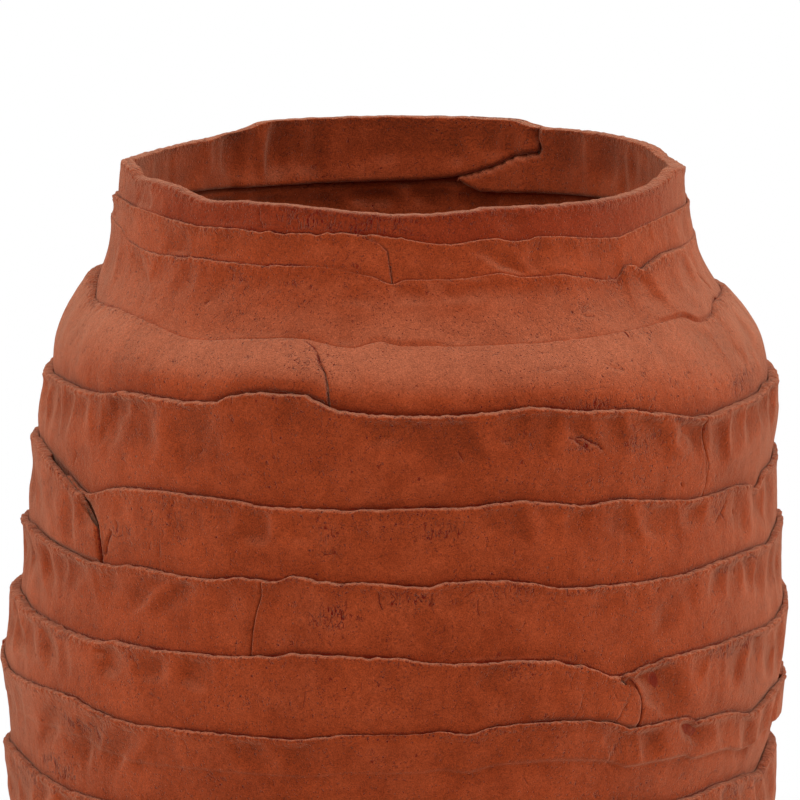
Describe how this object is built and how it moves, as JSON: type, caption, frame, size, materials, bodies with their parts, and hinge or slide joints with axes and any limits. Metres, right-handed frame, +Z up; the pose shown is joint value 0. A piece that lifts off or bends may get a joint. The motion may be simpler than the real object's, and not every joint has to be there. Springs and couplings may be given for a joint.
{
  "type": "vase",
  "caption": "Wide-bellied handmade vase of lapped terracotta straps, with pinched ragged seams, a short neck and an open round mouth.",
  "frame": {"origin": "centre of the flat underside, under the middle of the vase's axis", "axes": "+Z up along the vase's axis to the mouth; the side that the picture shows faces -Y, with its right at +X"},
  "size_m": [0.3025, 0.2993, 0.389],
  "materials": {
    "terracotta": "matte unglazed fired clay with a fine dusty grain, paler on ridges and lips",
    "terracotta_floor": "matte unglazed fired clay, a little darker inside"
  },
  "bodies": {
    "root": {"rim_strap_back": "terracotta", "rim_strap_front": "terracotta", "neck_upper_strap_left": "terracotta", "neck_upper_strap_right": "terracotta", "neck_lower_strap_back": "terracotta", "neck_lower_strap_front": "terracotta", "shoulder_upper_strap_left": "terracotta", "shoulder_upper_strap_right": "terracotta", "shoulder_lower_strap_back": "terracotta", "shoulder_lower_strap_front": "terracotta", "belly_1_strap_back": "terracotta", "belly_1_strap_front": "terracotta", "belly_2_strap_left": "terracotta", "belly_2_strap_right": "terracotta", "belly_3_strap_left": "terracotta", "belly_3_strap_right": "terracotta", "belly_4_strap_back": "terracotta", "belly_4_strap_front": "terracotta", "belly_5_strap_left": "terracotta", "belly_5_strap_right": "terracotta", "lower_wall_1_strap_left": "terracotta", "lower_wall_1_strap_right": "terracotta", "lower_wall_2_strap_back": "terracotta", "lower_wall_2_strap_front": "terracotta", "lower_wall_3_strap_left": "terracotta", "lower_wall_3_strap_right": "terracotta", "lower_wall_4_strap_left": "terracotta", "lower_wall_4_strap_right": "terracotta", "foot_strap_back": "terracotta", "foot_strap_front": "terracotta", "floor_slab": "terracotta_floor"}
  },
  "joints": []
}
